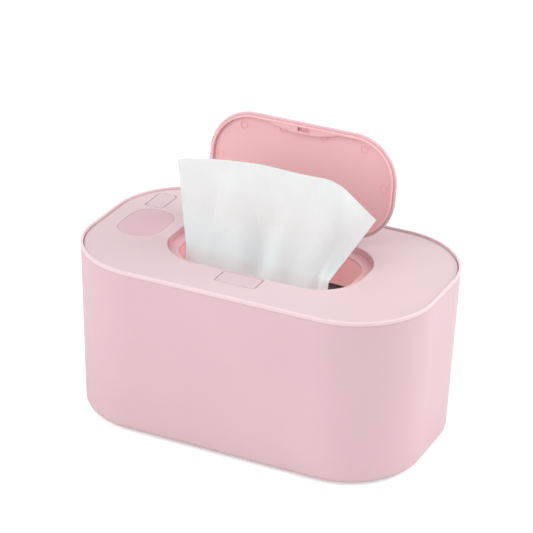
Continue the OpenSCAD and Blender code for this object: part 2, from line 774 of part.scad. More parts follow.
module lid_outer() {
  plate = top_z - lid_skin;
  rim_low = top_z - lid_rim;
  top_edge = edge_arc(lid_r, top_z, lid_round, 1);
  half = bay_l / 2 - knuckle_gap;
  color(pink) opened() difference() {
    union() {
      dish(mx, my, concat([[0, plate], [lid_r - lid_skin, plate], [lid_r - lid_skin, rim_low],
        [lid_r - 0.3, rim_low], [lid_r, rim_low + 0.3]], top_edge, [[0, top_z]]), plate, top_z);
      for (s = [-1, 1]) scale([s, 1, 1]) {
        rod_x(spring_bay / 2, half, hinge_y, hinge_z, knuckle_r);
        box(spring_bay / 2, half, lid_half_w - 1, hinge_y, hinge_z - 1.2, top_z - 0.05);
      }
    }
    rod_x(-bay_l, bay_l, hinge_y, hinge_z, pin_r + pin_clear);
  }
}

// Liner of the lid: its rib stands out past the lid's rim and seals on the ledge
module lid_inner() {
  r = lid_r - lid_skin - 0.1;
  rib = r - 0.3;
  rib_t = 1.35;
  plate = top_z - lid_skin;
  floor_low = lid_bottom + 1.9;
  seat_low = top_z - lid_rim + 0.2;
  pad_low = lid_bottom + 0.2;
  bulge_r = 66;
  bulge_y = lid_half_w - 6.4;
  color(pink) opened() difference() {
    union() {
      difference() {
        dish(mx, my, [[0, floor_low], [rib - rib_t, floor_low], [rib - rib_t, lid_bottom + 0.4],
          [rib - rib_t + 0.3, lid_bottom + 0.1], [rib - 0.3, lid_bottom + 0.1], [rib, lid_bottom + 0.4],
          [rib, seat_low], [r, seat_low], [r, plate], [0, plate]], floor_low, plate);
        for (at = ejector_marks) translate([at.x, at.y, floor_low - 1]) difference() {
          cylinder(r = 2.3, h = 1.3);
          translate([0, 0, -1]) cylinder(r = 1.7, h = 3);
        }
      }
      intersection() {
        slab(mx, my, rib - 0.3, pad_low, plate - 0.2);
        translate([0, -bulge_y - bulge_r, pad_low]) cylinder(r = bulge_r, h = lid_t);
        box(-20, 20, -body_w, 0, pad_low - 1, top_z);
      }
    }
    box(-hook_half - 0.45, hook_half + 0.45, slot_front, slot_rear, lid_bottom - 1, nose_z - 0.2);
    box(-hook_half - 0.45, hook_half + 0.45, slot_front, slot_rear + nose + 0.05,
      nose_z - 0.3, hook_top + 0.25);
  }
}

// Marks of the ejector pins inside the lid: four along each long side and one at each end
ejector_marks = [for (sx = [-1, 1]) each [
  [(mx + 5.6) * sx, -my - 17.7], [0.4 * mx * sx, -my - 20], [(mx + 19) * sx, 2.2 - my],
  [(mx + 5.6) * sx, my + 17.7], [0.4 * mx * sx, my + 20]]];

// ---- Latch and key ----

module latch_button() {
  low = top_z - cap_t;
  slope_top = wedge_top + ramp_gap;
  leg_front = wedge_crest + 1;
  leg_rear = wedge_crest + 4.8;
  color(pink) {
    translate([0, button_y, 0])
      soft_slab(button_l / 2 - button_r, button_w / 2 - button_r, button_r, low, top_z, panel_round);
    for (s = [-1, 1]) scale([s, 1, 1]) {
      profile_x(ramp_x, ramp_x + ramp_w, [[leg_front, low + 0.1], [leg_front, slope_top - 1],
        [leg_rear, slope_top - 4.8], [leg_rear + 0.2, slope_top - 4.8], [leg_rear + 0.2, low + 0.1]]);
      box(button_l / 2 - 1, button_l / 2, button_y - 1.8, button_y + 1.8, top_z - 3.3, low + 0.1);
      box(button_l / 2 - 0.1, button_l / 2 + 1.2, button_y - 1.8, button_y + 1.8,
        top_z - 3.3, top_z - panel_t - 0.3);
    }
  }
}

module latch_slider() {
  z1 = slider_z + slider_t;
  color([0.95, 0.95, 0.95]) {
    profile_x(-slider_half, slider_half, [[wedge_front, slider_z], [wedge_front, wedge_top],
      [wedge_crest, wedge_top], [wedge_crest + 3.5, z1], [wedge_crest + 3.5, slider_z]]);
    box(-neck_half, neck_half, wedge_crest, hook_rear - hook_t + 0.3, slider_z, z1);
    profile_x(-hook_half, hook_half, [[hook_rear - hook_t, z1 - 1], [hook_rear, z1 - 1],
      [hook_rear, nose_z], [hook_rear + nose, nose_z], [hook_rear + nose, nose_z + 0.3],
      [hook_rear, hook_top], [hook_rear - hook_t, hook_top]]);
  }
}

module latch_spring() {
  steps = 12;
  turns = 5;
  last = turns * steps;
  y0 = spring_seat + 0.35;
  y1 = wedge_front - 0.35;
  z = slider_z + 2.6;
  coil = [for (i = [0:last]) let (a = 360 * i / steps)
    [1.6 * cos(a), y0 + (y1 - y0) * i / last, z + 1.6 * sin(a)]];
  color(steel) tube(coil, [0, 1, 0], 0.3, 6);
}

module power_key() {
  low = top_z - 1.4;
  flange_top = top_z - panel_t - 0.3;
  foot_z = flange_top - 0.6;
  color(pink) translate([key_x, key_y, 0]) {
    dish(key_l / 2 - key_r, key_w / 2 - key_r, concat([[0, low], [key_r - 0.8, low], [key_r - 0.8, foot_z],
      [key_r + key_flange, foot_z], [key_r + key_flange, flange_top], [key_r, flange_top]],
      edge_arc(key_r, top_z, panel_round, 1), [[0, top_z]]), low, top_z);
    translate([0, 0, plunger_top + key_travel + 0.1]) cylinder(r = 1.6, h = low - plunger_top - key_travel);
  }
}

// ---- Wipe drawn up through the mouth ----

// Its left edge, fold ridge and right edge at the top, at the mouth and at the soft lip
top_left = [-mx - 25.5, -2, top_z + 44.3];
top_ridge = [mx + 8, -2, top_z + 52];
top_right = [mx + 26.4, 11, top_z + 27.8];
mouth_left = [-mx - 16.3, -8, ledge_z];
mouth_ridge = [mx + 1.4, -9.5, ledge_z];
mouth_right = [mx + 9.3, -12, ledge_z];
sheet_lip = mouth_z - 2;
lip_left = [-mx - 15.8, -9, sheet_lip];
lip_ridge = [mx - 0.8, -9, sheet_lip];
lip_right = [mx + 8.2, -9, sheet_lip];
// The part that still lies on the stack
sheet_lie = stack_top + 0.6;
lie_rear = stack_w / 2 - 9;
lie_front = -stack_w / 2 + 7;
ridge_share = 0.73;
ridge_round = 0.07;
sheet_t = 0.5;
sheet_columns = 34;

function mix3(a, b, f) = a + (b - a) * f;
function bell(x, middle, half) = exp(-pow((x - middle) / half, 2));
function ease(x, from, to) = let (t = max(0, min(1, (x - from) / (to - from)))) t * t * (3 - 2 * t);
// A point across one station, rounded at the ridge, u going from the left edge to the right
function across(left, ridge, right, u) =
  let (h = ridge_round, s = ridge_share, t = (u - s + h) / (2 * h),
       a = mix3(left, ridge, 1 - h / s), b = mix3(ridge, right, h / (1 - s)))
  u < s - h ? mix3(left, ridge, u / s)
  : u > s + h ? mix3(ridge, right, (u - s) / (1 - s))
  : (1 - t) * (1 - t) * a + 2 * t * (1 - t) * ridge + t * t * b;
// Small pleats where the sheet is gathered
function pleat(depth, u) = [0, depth * cos(360 * 5 * u) * sin(180 * u), 0];
// One soft fold that stands out and one that falls in; f goes from the mouth to the top edge
function fold(u, f) =
  let (g = u / ridge_share)
  [0, 1.4 * bell(g, 0.585 + 0.07 * f, 0.07) * (1 - ease(f, 0.4, 0.8))
    - 1.9 * bell(g, 0.435 - 0.16 * f, 0.11) * (1 - ease(f, 0.7, 0.95)), 0];
function flat_row(y, z) = [for (i = [0:sheet_columns]) [wipe_w * (i / sheet_columns - 0.5), y, z]];
lip_row = [for (i = [0:sheet_columns]) let (u = i / sheet_columns)
  across(lip_left, lip_ridge, lip_right, u) + pleat(1.1, u)];
// The ridge bows to the right and the top edge rises in a shallow arc
function standing_row(f) =
  let (left = mix3(mouth_left, top_left, f), right = mix3(mouth_right, top_right, f),
       bow = [4.9 * sin(180 * pow(f, 1.6)), -2 * sin(180 * f), 0],
       ridge = mix3(mouth_ridge, top_ridge, f) + bow)
  [for (i = [0:sheet_columns]) let (u = i / sheet_columns, g = min(u / ridge_share, 1))
    across(left, ridge, right, u) + pleat(0.6 * (1 - f), u) + fold(u, f)
    + [0, 0, 3.8 * f * f * sqrt(max(sin(180 * g), 0)) * (1 - 0.75 * ease(g, 0.45, 0.9))]];
turn_row = flat_row(lie_front - 3.5, sheet_lie + 2.2);
sheet_rows = concat(
  [flat_row(lie_rear, sheet_lie), flat_row(lie_front, sheet_lie), flat_row(lie_front - 3, sheet_lie + 0.6),
    turn_row],
  [for (f = [0.33, 0.66]) [for (i = [0:sheet_columns]) mix3(turn_row[i], lip_row[i], f)]],
  [lip_row],
  [for (k = [0:9]) standing_row(k / 9)]);

// Direction of the sheet's thickness in each row, square to its run in Y and Z
function row_normal(k) =
  let (a = sheet_rows[max(k - 1, 0)][8], b = sheet_rows[min(k + 1, len(sheet_rows) - 1)][8], d = b - a,
       n = [0, d.z, -d.y])
  n * sheet_t / norm(n);

module wipe_sheet() {
  rows = len(sheet_rows);
  cols = sheet_columns + 1;
  half = rows * cols;
  front = [for (row = sheet_rows) each row];
  back = [for (k = [0:rows - 1]) each [for (p = sheet_rows[k]) p + row_normal(k)]];
  skin = [for (k = [0:rows - 2], i = [0:cols - 2])
    let (a = k * cols + i, b = a + 1, c = b + cols, d = a + cols)
    each [[a, c, b], [a, d, c], [half + a, half + b, half + c], [half + a, half + c, half + d]]];
  sides = [for (k = [0:rows - 2], e = [0, 1])
    let (a = k * cols + e * (cols - 1), d = a + cols)
    each (e == 0 ? [[a, half + a, half + d], [a, half + d, d]]
      : [[a, half + d, half + a], [a, d, half + d]])];
  ends = [for (i = [0:cols - 2], e = [0, 1])
    let (a = e * (rows - 1) * cols + i, b = a + 1)
    each (e == 0 ? [[a, b, half + b], [a, half + b, half + a]]
      : [[a, half + b, b], [a, half + a, half + b]])];
  color([0.96, 0.96, 0.96]) polyhedron(concat(front, back), concat(skin, sides, ends));
}

outer_shell();
base_cover();
base_screws();
foot_front_left();
foot_front_right();
foot_rear_left();
foot_rear_right();
inner_tank();
insulation_sleeve();
wipe_stack();
top_panel();
under_cover();
cover_screws();
cover_gasket();
mouth_lip();
heater_plate();
heating_film();
thermal_fuse();
temperature_sensor();
heat_shield();
control_board();
board_screws();
display_module();
display_window();
tact_switch();
inlet_board();
power_inlet();
power_leads();
heater_leads();
sensor_leads();
hinge_pin();
torsion_spring();
latch_spring();
wipe_sheet();
latch_button();
latch_slider();
power_key();
lid_outer();
lid_inner();
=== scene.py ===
# %% [markdown]
# # A baby wipe warmer
#
# The real object is a rounded pink bin with a heated cover that lifts off. A sprung lid stands
# open behind the mouth, and one wipe is drawn up through it. The solids come from the packed
# part, which is the fixed frame of this scene. Blender adds what solids can't give: the finish
# of the moulded plastic, the soft wipe, the folded stack below it, and the wound wires.

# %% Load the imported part
import json
import math

import bpy
import numpy as np
from mathutils import Matrix, Vector


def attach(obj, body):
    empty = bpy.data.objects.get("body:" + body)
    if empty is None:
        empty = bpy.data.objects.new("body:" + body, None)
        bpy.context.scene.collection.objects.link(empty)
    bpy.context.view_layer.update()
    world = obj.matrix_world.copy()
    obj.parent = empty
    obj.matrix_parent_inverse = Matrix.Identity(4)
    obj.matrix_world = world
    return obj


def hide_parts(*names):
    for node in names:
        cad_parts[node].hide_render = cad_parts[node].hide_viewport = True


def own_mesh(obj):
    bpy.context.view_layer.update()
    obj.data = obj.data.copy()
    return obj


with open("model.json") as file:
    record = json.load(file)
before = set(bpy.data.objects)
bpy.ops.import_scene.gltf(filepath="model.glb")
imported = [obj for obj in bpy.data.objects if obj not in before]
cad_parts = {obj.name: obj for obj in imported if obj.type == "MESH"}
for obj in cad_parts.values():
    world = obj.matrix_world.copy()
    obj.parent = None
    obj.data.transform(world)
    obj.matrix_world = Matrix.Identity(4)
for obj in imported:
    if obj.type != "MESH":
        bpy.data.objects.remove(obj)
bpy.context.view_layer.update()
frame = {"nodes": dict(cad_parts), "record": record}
nodes = frame["nodes"]


def mm(*values):
    """A point given in millimetres, in Blender's metres."""
    return Vector(values) / 1000


def srgb(red, green, blue):
    """A colour as it looks on screen, 0 to 255, as the linear values that a shader takes."""
    def linear(c):
        c /= 255
        return c / 12.92 if c <= 0.04045 else ((c + 0.055) / 1.055) ** 2.4
    return (linear(red), linear(green), linear(blue), 1.0)


# %% [markdown]
# ## The camera
#
# A product picture like this is taken with a long lens, from the front, a little to the right
# and above. The turn about the line of sight is small, but the bin would lean without it. The
# camera could be aimed with a constraint. Its three axes are written out instead, because the
# other views move the camera, and a constraint would fight them.

# %% Camera at the picture's viewing angle
AZIMUTH, ELEVATION, ROLL = math.radians(24.89), math.radians(25.79), math.radians(1.71)
AIM = mm(-35.75, 73.28, 50.65)
DISTANCE = 1.43148



def direction(azimuth, elevation):
    """The way from the object to what stands at these angles, seen from the front."""
    flat = math.cos(elevation)
    return Vector((math.sin(azimuth) * flat, -math.cos(azimuth) * flat, math.sin(elevation)))


back = direction(AZIMUTH, ELEVATION)
level = Vector((math.cos(AZIMUTH), math.sin(AZIMUTH), 0))
upward = back.cross(level)
right = level * math.cos(ROLL) + upward * math.sin(ROLL)
up = upward * math.cos(ROLL) - level * math.sin(ROLL)

camera_data = bpy.data.cameras.new("camera")
camera_data.lens = 165.14
camera_data.sensor_width = 36
camera = bpy.data.objects.new("camera", camera_data)
axes = Matrix((right, up, back)).transposed().to_4x4()
camera.matrix_world = Matrix.Translation(AIM + back * DISTANCE) @ axes
bpy.context.scene.collection.objects.link(camera)
bpy.context.scene.camera = camera
print("camera at", [round(v, 3) for v in camera.location])

# %% [markdown]
# ## The studio
#
# A white table and white surroundings, with three large soft lamps: a weak one above, one at the
# front left and one at the right. The corner between the two side lamps is the darkest part of the
# bin, as in the picture. Small lamps would draw hard shadows beside the wipe, which the picture
# doesn't have. The table and the world look white to the camera and in reflections, but light the
# object only as far as a plain level, so no colour washes out.

# %% World and table
scene = bpy.context.scene
scene.view_settings.view_transform = "Standard"
AMBIENT = 0.72
TABLE_GLOW = 0.42
HALF_TABLE = 6.0


def link(tree, source, target):
    tree.links.new(source, target)


world = bpy.data.worlds.new("studio")
world.use_nodes = True
scene.world = world
tree = world.node_tree
tree.nodes.clear()
path = tree.nodes.new("ShaderNodeLightPath")
seen = tree.nodes.new("ShaderNodeMath")
seen.operation = "MAXIMUM"
through = tree.nodes.new("ShaderNodeMath")
through.operation = "MAXIMUM"
strength = tree.nodes.new("ShaderNodeMapRange")
strength.inputs["To Min"].default_value = AMBIENT
strength.inputs["To Max"].default_value = 1.0
sky = tree.nodes.new("ShaderNodeBackground")
world_out = tree.nodes.new("ShaderNodeOutputWorld")
link(tree, path.outputs["Is Camera Ray"], seen.inputs[0])
link(tree, path.outputs["Is Glossy Ray"], seen.inputs[1])
link(tree, seen.outputs[0], through.inputs[0])
link(tree, path.outputs["Is Transmission Ray"], through.inputs[1])
link(tree, through.outputs[0], strength.inputs["Value"])
link(tree, strength.outputs["Result"], sky.inputs["Strength"])
link(tree, sky.outputs["Background"], world_out.inputs["Surface"])

table_mesh = bpy.data.meshes.new("table")
table_corners = [(x * HALF_TABLE, y * HALF_TABLE, 0) for x, y in ((-1, -1), (1, -1), (1, 1), (-1, 1))]
table_mesh.from_pydata(table_corners, [], [(0, 1, 2, 3)])
table = bpy.data.objects.new("table", table_mesh)
scene.collection.objects.link(table)

table_paint = bpy.data.materials.new("table_white")
table_paint.use_nodes = True
tree = table_paint.node_tree
surface = tree.nodes["Principled BSDF"]
surface.inputs["Base Color"].default_value = srgb(243, 243, 243)
surface.inputs["Roughness"].default_value = 0.9
surface.inputs["Specular IOR Level"].default_value = 0.1
surface.inputs["Emission Color"].default_value = (1, 1, 1, 1)
path = tree.nodes.new("ShaderNodeLightPath")
glow = tree.nodes.new("ShaderNodeMath")
glow.operation = "MULTIPLY"
glow.inputs[1].default_value = TABLE_GLOW
link(tree, path.outputs["Is Camera Ray"], glow.inputs[0])
link(tree, glow.outputs[0], surface.inputs["Emission Strength"])
table_mesh.materials.append(table_paint)

# %% Lamps
MIDDLE = mm(0, 0, 80)


def lamp(name, azimuth, elevation, distance, size, level):
    """A square soft lamp aimed at the object; level is how bright it makes a white surface facing it."""
    data = bpy.data.lights.new(name, "AREA")
    data.size = size
    data.energy = level * math.pi ** 2 * distance ** 2
    away = direction(math.radians(azimuth), math.radians(elevation))
    made = bpy.data.objects.new(name, data)
    made.location = MIDDLE + away * distance
    made.rotation_mode = "QUATERNION"
    made.rotation_quaternion = away.to_track_quat("Z", "Y")
    scene.collection.objects.link(made)


LAMP_DISTANCE = 1.8
lamp("lamp_above", 0, 80, LAMP_DISTANCE, 1.8, 0.24)
lamp("lamp_front_left", -38, 30, LAMP_DISTANCE, 1.8, 0.48)
lamp("lamp_right", 118, 32, LAMP_DISTANCE, 1.4, 0.60)

# %% [markdown]
# ## Moulded plastic
#
# Every pink piece is moulded in the same coloured plastic. Its skin is satin: the mould is
# finely blasted, so the gloss is broken by a grain of a few tenths of a millimetre, and the
# colour drifts a little where the melt cooled at different speeds. Both could be painted as
# textures. Noise in object space is used instead, because it has the same size on every piece.
# The effect is one node group, and each plastic places it with its own colour and strengths.
# The pinks differ from piece to piece: partly the pieces' own tone, and partly painted light and
# shade, each set lighter, darker or deeper to how light falls on that piece.

# %% Node group: skin of a moulded plastic
def new_group(name, inputs, outputs):
    """An empty shader group with named sockets: (name, type, start value)."""
    group = bpy.data.node_groups.new(name, "ShaderNodeTree")
    for label, kind, value in inputs:
        socket = group.interface.new_socket(label, in_out="INPUT", socket_type=kind)
        socket.default_value = value
    for label, kind in outputs:
        group.interface.new_socket(label, in_out="OUTPUT", socket_type=kind)
    return group, group.nodes.new("NodeGroupInput"), group.nodes.new("NodeGroupOutput")


def noise(tree, vector, scale, detail, roughness=0.5):
    node = tree.nodes.new("ShaderNodeTexNoise")
    node.inputs["Scale"].default_value = scale
    node.inputs["Detail"].default_value = detail
    node.inputs["Roughness"].default_value = roughness
    link(tree, vector, node.inputs["Vector"])
    return node.outputs["Fac"]


def math_node(tree, operation, a, b):
    node = tree.nodes.new("ShaderNodeMath")
    node.operation = operation
    for socket, value in zip(node.inputs, (a, b)):
        if isinstance(value, (int, float)):
            socket.default_value = value
        else:
            link(tree, value, socket)
    return node.outputs[0]


def swing(tree, field, size):
    """A noise of 0 to 1 as a swing about zero, as large as size."""
    return math_node(tree, "MULTIPLY", math_node(tree, "SUBTRACT", field, 0.5), size)


def scaled_colour(tree, colour, factor):
    """The colour, darker or lighter by the factor."""
    node = tree.nodes.new("ShaderNodeVectorMath")
    node.operation = "SCALE"
    link(tree, colour, node.inputs[0])
    link(tree, factor, node.inputs["Scale"])
    return node.outputs[0]


skin, skin_in, skin_out = new_group(
    "moulded_skin",
    [("Colour", "NodeSocketColor", (0.8, 0.8, 0.8, 1)), ("Drift", "NodeSocketFloat", 0.05),
     ("Roughness", "NodeSocketFloat", 0.4), ("Gloss Drift", "NodeSocketFloat", 0.1)],
    [("Colour", "NodeSocketColor"), ("Roughness", "NodeSocketFloat"), ("Grain", "NodeSocketFloat")])
place = skin.nodes.new("ShaderNodeTexCoord").outputs["Object"]
CLOUDS, PATCHES, GRAINS = 22, 90, 2600
cloud = noise(skin, place, CLOUDS, 3)
grain = noise(skin, place, GRAINS, 2)
drift = swing(skin, cloud, skin_in.outputs["Drift"])
drifted = scaled_colour(skin, skin_in.outputs["Colour"], math_node(skin, "ADD", drift, 1.0))
link(skin, drifted, skin_out.inputs["Colour"])
patch = noise(skin, place, PATCHES, 4)
gloss = swing(skin, patch, skin_in.outputs["Gloss Drift"])
link(skin, math_node(skin, "ADD", gloss, skin_in.outputs["Roughness"]), skin_out.inputs["Roughness"])
link(skin, grain, skin_out.inputs["Grain"])
print("group", skin.name, "with", len(skin.nodes), "nodes")


# %% Plastics of the part
def new_material(name):
    material = bpy.data.materials.new(name)
    material.use_nodes = True
    return material, material.node_tree, material.node_tree.nodes["Principled BSDF"]


def place_group(tree, group, **values):
    node = tree.nodes.new("ShaderNodeGroup")
    node.node_tree = group
    for label, value in values.items():
        node.inputs[label.replace("_", " ")].default_value = value
    return node


def bump(tree, height, surface, depth, strength=1.0):
    """Raises the surface by the height, with the given depth in metres at height 1."""
    node = tree.nodes.new("ShaderNodeBump")
    node.inputs["Strength"].default_value = strength
    node.inputs["Distance"].default_value = depth
    link(tree, height, node.inputs["Height"])
    link(tree, node.outputs["Normal"], surface.inputs["Normal"])
    return node


BLACK = (0.0, 0.0, 0.0, 1.0)


def ramp(tree, value, low, high):
    """0 at low, 1 at high, and straight in between."""
    node = tree.nodes.new("ShaderNodeMapRange")
    node.inputs["From Min"].default_value = low
    node.inputs["From Max"].default_value = high
    link(tree, value, node.inputs["Value"])
    return node.outputs["Result"]


def mix_colour(tree, mask, a, b):
    """Colour a where the mask is 0 and b where it is 1; each is a fixed colour or a node's output."""
    node = tree.nodes.new("ShaderNodeMix")
    node.data_type = "RGBA"
    for label, colour in (("A", a), ("B", b)):
        if isinstance(colour, tuple):
            node.inputs[label].default_value = colour
        else:
            link(tree, colour, node.inputs[label])
    link(tree, mask, node.inputs["Factor"])
    return node.outputs["Result"]


def object_place(tree):
    """The X, Y and Z of the point on the piece, in metres."""
    place = tree.nodes.new("ShaderNodeSeparateXYZ")
    link(tree, tree.nodes.new("ShaderNodeTexCoord").outputs["Object"], place.inputs[0])
    return place.outputs


def plastic(name, colour, roughness=0.42, drift=0.06, gloss_drift=0.12, grain=0.00002, scatter=0.0,
            bands=(), within=(), glow=0.0):
    """A moulded plastic.

    bands lists (height where a band starts, height where it is full, its colour), from the top down.
    Each band is painted light and shade laid over the plastic's colour.
    They reach only as far from the middle as within says, in X and Y. glow is painted light: a faint
    light of the plastic's own, where there are bands in the lowest one only. It stands for light that
    comes through a thin wall, and its level was chosen against the picture.
    """
    material, tree, surface = new_material(name)
    node = place_group(tree, skin, Colour=colour, Drift=drift, Roughness=roughness, Gloss_Drift=gloss_drift)
    surface.inputs["Emission Strength"].default_value = glow
    surface.inputs["Emission Color"].default_value = colour
    tint = colour
    for start, full, painted_colour in bands:
        place = object_place(tree)
        share = ramp(tree, place["Z"], start, full)
        for axis, reach in zip("XY", within):
            near = math_node(tree, "LESS_THAN", math_node(tree, "ABSOLUTE", place[axis], 0.0), reach)
            share = math_node(tree, "MULTIPLY", share, near)
        tint = mix_colour(tree, share, tint, painted_colour)
    if bands:
        link(tree, tint, node.inputs["Colour"])
    # painted light: the lowest band glows in its own colour
    if bands and glow:
        link(tree, mix_colour(tree, share, BLACK, painted_colour), surface.inputs["Emission Color"])
    link(tree, node.outputs["Colour"], surface.inputs["Base Color"])
    link(tree, node.outputs["Roughness"], surface.inputs["Roughness"])
    bump(tree, node.outputs["Grain"], surface, grain)
    surface.inputs["Subsurface Weight"].default_value = scatter
    surface.inputs["Subsurface Radius"].default_value = (0.0016, 0.0009, 0.0008)
    surface.inputs["Subsurface Scale"].default_value = 1.0
    return material


# the rounded rim shows as a bright line with a thin shade below it, so it is coloured that way: the top
# keeps the lighter colour as a painted highlight, a thin darker band is a painted shade line, and the shell
# below takes the last colour
PAINTED_RIM_HIGHLIGHT_AND_SHADE = ((0.0980, 0.0977, srgb(212, 179, 184)), (0.0973, 0.0968, srgb(219, 187, 193)))
# painted bounced light: the cover's plastic is coloured a deeper pink from the ledge's edge down and a
# deeper, brighter pink in the mouth, standing for light bounced between the pink walls
PAINTED_MOUTH_LIGHT = ((0.0982, 0.0975, srgb(226, 182, 186)), (0.0942, 0.0920, srgb(244, 178, 178)))
PAINTED_MOUTH_REACH = (0.062, 0.036)

finishes = {
    # the shell's rim carries a painted highlight and a painted shade line
    "shell_pink": plastic("shell_pink", srgb(233, 208, 213), bands=PAINTED_RIM_HIGHLIGHT_AND_SHADE),
    # the panel glows faintly in the mouth band: painted light that brightens the shaded mouth
    "panel_pink": plastic("panel_pink", srgb(217, 194, 197), roughness=0.45,
                          bands=PAINTED_MOUTH_LIGHT, within=PAINTED_MOUTH_REACH, glow=0.21),
    "lid_pink": plastic("lid_pink", srgb(230, 200, 204), roughness=0.38),
    # liner_pink's deeper salmon is painted bounced light, standing for light thrown back onto the lid's
    # inside by the panel and the recess
    "liner_pink": plastic("liner_pink", srgb(244, 192, 194), roughness=0.35),
    "key_pink": plastic("key_pink", srgb(213, 190, 194), roughness=0.40),
    "window_pink": plastic("window_pink", srgb(213, 178, 186), roughness=0.16,
                           gloss_drift=0.03, grain=0.000004),
    "inner_pink": plastic("inner_pink", srgb(222, 178, 182), roughness=0.5),
    "tank_white": plastic("tank_white", srgb(232, 228, 227), roughness=0.35),
    "dark_plastic": plastic("dark_plastic", srgb(38, 38, 41), roughness=0.45),
    "ceramic": plastic("ceramic", srgb(228, 224, 212), roughness=0.25),
    # the silicone glows faintly all over: painted light that brightens the lip in the shaded mouth
    "silicone": plastic("silicone", srgb(226, 172, 175), roughness=0.55,
                        grain=0.00001, scatter=0.15, glow=0.16),
    "foot_rubber": plastic("foot_rubber", srgb(205, 196, 196), roughness=0.75, grain=0.00006),
}
print("plastics:", len(finishes))

# %% [markdown]
# ## Metal, film, foam and boards
#
# Inside the cover lie an aluminium heating plate, steel screws and springs, a foil heater with
# its printed track, two circuit boards and a foam sleeve. They show when the cover is lifted or
# the part is taken apart. Rolled and drawn metal has fine streaks along one direction, which a
# noise stretched along an axis gives. Tracks and foam cells follow simple rules, so they are
# made from waves and cells, not from pictures.

# %% Node group: streaks of worked metal
streaks, streaks_in, streaks_out = new_group(
    "metal_streaks",
    [("Colour", "NodeSocketColor", (0.7, 0.7, 0.7, 1)), ("Stretch", "NodeSocketVector", (60, 4000, 4000)),
     ("Roughness", "NodeSocketFloat", 0.3)],
    [("Colour", "NodeSocketColor"), ("Roughness", "NodeSocketFloat"), ("Streak", "NodeSocketFloat")])
place = streaks.nodes.new("ShaderNodeTexCoord").outputs["Object"]
stretched = streaks.nodes.new("ShaderNodeVectorMath")
stretched.operation = "MULTIPLY"
link(streaks, place, stretched.inputs[0])
link(streaks, streaks_in.outputs["Stretch"], stretched.inputs[1])
streak = noise(streaks, stretched.outputs[0], 1, 3, 0.6)
tone = math_node(streaks, "ADD", math_node(streaks, "MULTIPLY", streak, 0.24), 0.88)
link(streaks, scaled_colour(streaks, streaks_in.outputs["Colour"], tone), streaks_out.inputs["Colour"])
dull = swing(streaks, streak, 0.3)
rough = math_node(streaks, "ADD", dull, streaks_in.outputs["Roughness"])
link(streaks, rough, streaks_out.inputs["Roughness"])
link(streaks, streak, streaks_out.inputs["Streak"])


def metal(name, colour, roughness, stretch):
    material, tree, surface = new_material(name)
    node = place_group(tree, streaks, Colour=colour, Stretch=stretch, Roughness=roughness)
    link(tree, node.outputs["Colour"], surface.inputs["Base Color"])
    link(tree, node.outputs["Roughness"], surface.inputs["Roughness"])
    surface.inputs["Metallic"].default_value = 1.0
    bump(tree, node.outputs["Streak"], surface, 0.000008)
    return material


finishes["steel"] = metal("steel", srgb(196, 198, 202), 0.28, (900, 900, 200))
finishes["spring_steel"] = metal("spring_steel", srgb(176, 178, 184), 0.25, (500, 3000, 3000))
finishes["aluminium"] = metal("aluminium", srgb(214, 216, 218), 0.36, (60, 3000, 3000))

# %% Insulated leads
LEAD_COLOURS = {
    "lead_red": srgb(178, 34, 34), "lead_black": srgb(30, 30, 33), "lead_yellow": srgb(218, 190, 52)}
for name, colour in LEAD_COLOURS.items():
    finishes[name] = plastic(name, colour, roughness=0.38, drift=0.12, grain=0.00001)
print("leads:", len(LEAD_COLOURS))

# %% Circuit boards, heating film and foam
material, tree, surface = new_material("board_green")
place = tree.nodes.new("ShaderNodeTexCoord").outputs["Object"]
tracks = tree.nodes.new("ShaderNodeTexBrick")
tracks.inputs["Scale"].default_value = 260
tracks.inputs["Mortar Size"].default_value = 0.06
tracks.inputs["Mortar Smooth"].default_value = 0.2
tracks.offset = 0.37
tracks.squash = 0.6
tracks.inputs["Color1"].default_value = tracks.inputs["Color2"].default_value = (0, 0, 0, 1)
tracks.inputs["Mortar"].default_value = (1, 1, 1, 1)
link(tree, place, tracks.inputs["Vector"])
cells = tree.nodes.new("ShaderNodeTexVoronoi")
cells.inputs["Scale"].default_value = 190
link(tree, place, cells.inputs["Vector"])
pads = math_node(tree, "SUBTRACT", 1.0, ramp(tree, cells.outputs["Distance"], 0.10, 0.14))
lines = mix_colour(tree, tracks.outputs["Fac"], srgb(24, 104, 62), srgb(52, 140, 88))
link(tree, mix_colour(tree, pads, lines, srgb(206, 204, 196)), surface.inputs["Base Color"])
surface.inputs["Roughness"].default_value = 0.35
bump(tree, tracks.outputs["Fac"], surface, 0.00004)
finishes["board_green"] = material

material, tree, surface = new_material("film")
place = tree.nodes.new("ShaderNodeTexCoord").outputs["Object"]
wave = tree.nodes.new("ShaderNodeTexWave")
wave.inputs["Scale"].default_value = 52
wave.inputs["Distortion"].default_value = 1.2
wave.inputs["Detail Scale"].default_value = 0.4
link(tree, place, wave.inputs["Vector"])
track = ramp(tree, wave.outputs["Fac"], 0.42, 0.58)
link(tree, mix_colour(tree, track, srgb(196, 128, 44), srgb(150, 92, 40)), surface.inputs["Base Color"])
surface.inputs["Roughness"].default_value = 0.24
bump(tree, track, surface, 0.00003)
finishes["film"] = material

material, tree, surface = new_material("foam")
place = tree.nodes.new("ShaderNodeTexCoord").outputs["Object"]
cells = tree.nodes.new("ShaderNodeTexVoronoi")
cells.feature = "DISTANCE_TO_EDGE"
cells.inputs["Scale"].default_value = 620
link(tree, place, cells.inputs["Vector"])
wall = ramp(tree, cells.outputs["Distance"], 0.0, 0.22)
link(tree, mix_colour(tree, wall, srgb(206, 206, 202), srgb(232, 232, 229)), surface.inputs["Base Color"])
surface.inputs["Roughness"].default_value = 0.85
bump(tree, wall, surface, 0.00018)
finishes["foam"] = material

